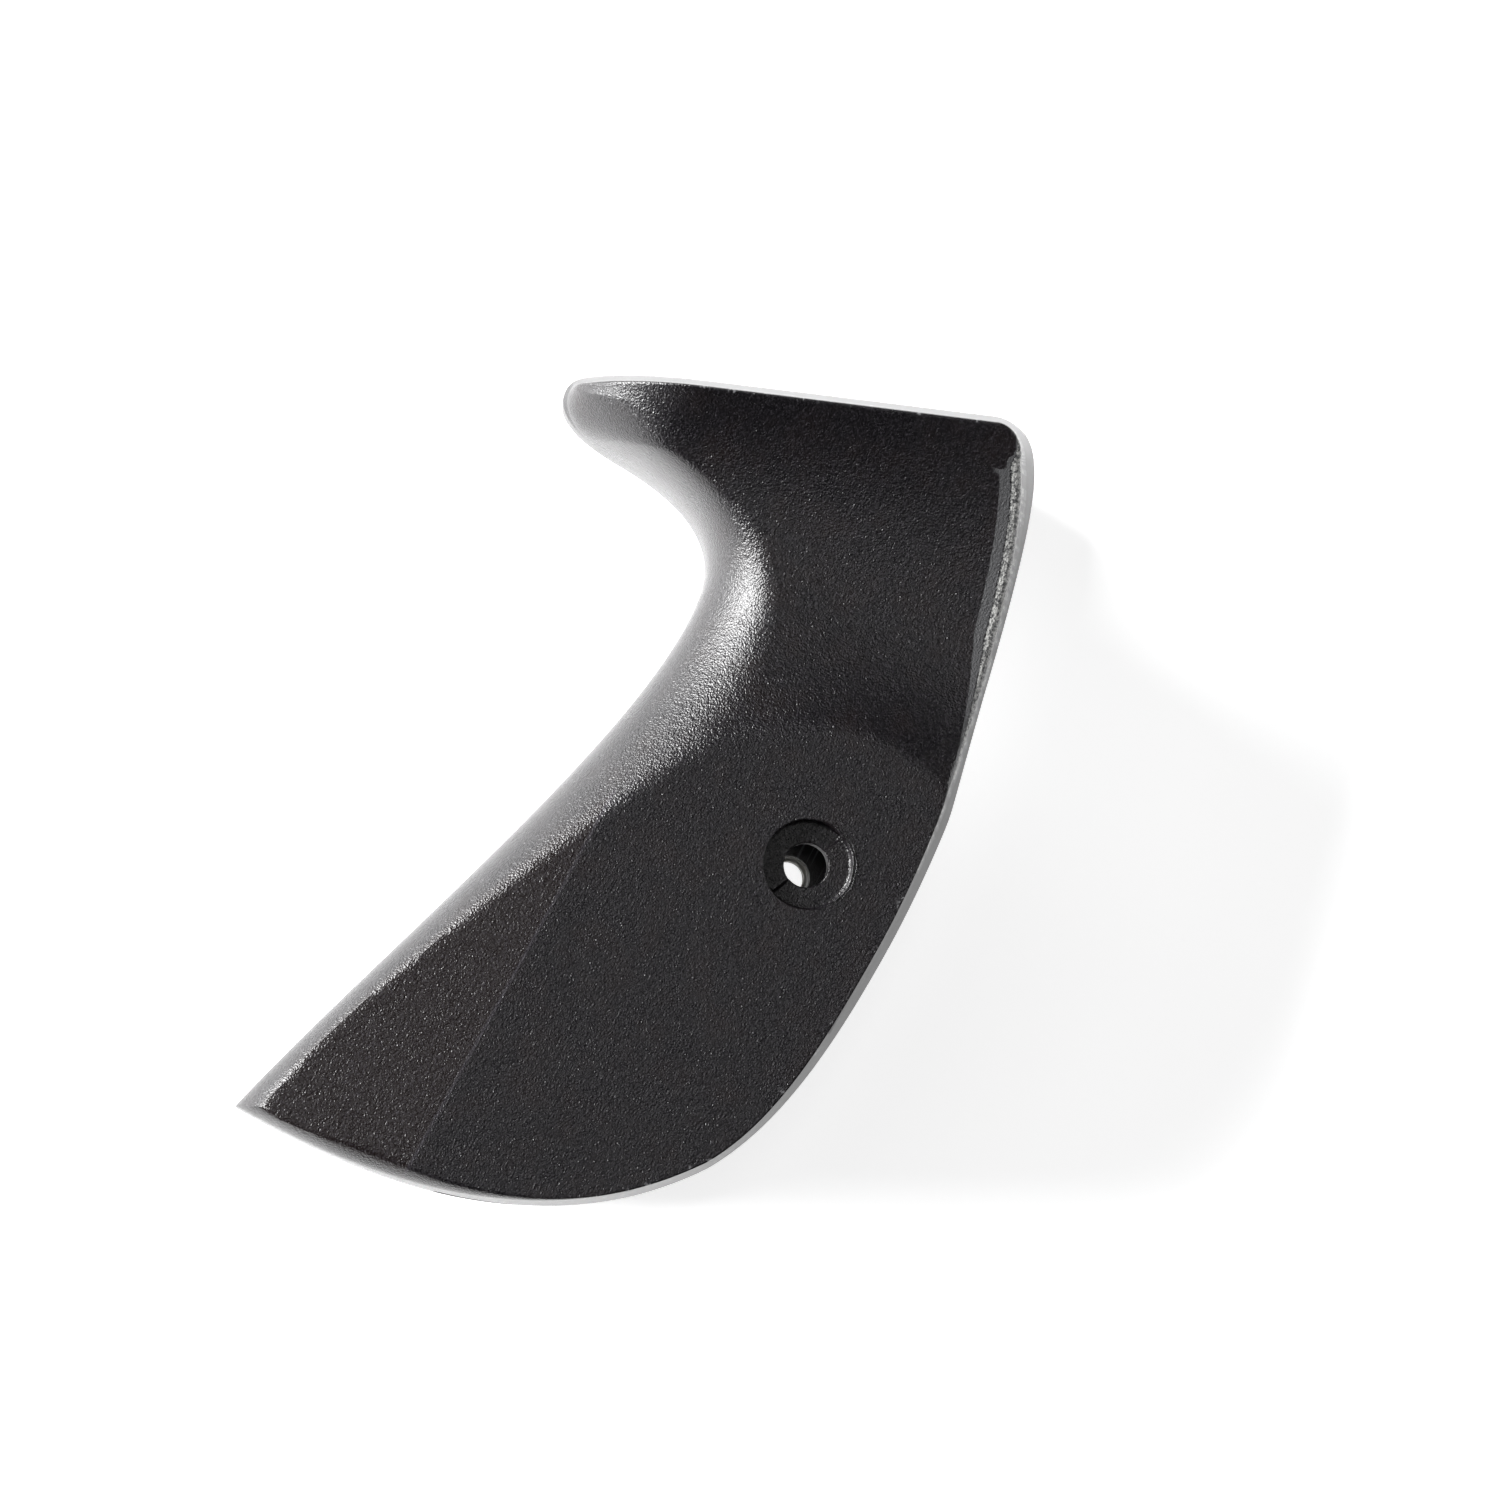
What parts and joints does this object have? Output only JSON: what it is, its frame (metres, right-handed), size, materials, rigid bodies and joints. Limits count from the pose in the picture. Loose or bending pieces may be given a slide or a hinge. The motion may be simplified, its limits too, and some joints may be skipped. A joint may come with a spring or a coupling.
{
  "type": "ice axe hand rest",
  "caption": "Moulded hand rest that straddles an ice axe shaft: two cheeks, a necked finger groove and a flared, hooked pommel, held by one cross screw and a captive nut.",
  "frame": {"origin": "point on the wall that seats on the front of the shaft, level with the cross screw and half way between the cheeks", "axes": "+X along the shaft towards the pommel, +Y away from the shaft towards the hook, +Z from the nut cheek to the screw head cheek"},
  "size_m": [0.098, 0.0558, 0.0364],
  "materials": {
    "black_nylon": "fine moulded grain, satin, smooth on the parting edges",
    "zinc_steel": "bright zinc plate"
  },
  "bodies": {
    "root": {"hand_rest_moulding": "black_nylon", "captive_nut": "zinc_steel"}
  },
  "joints": []
}
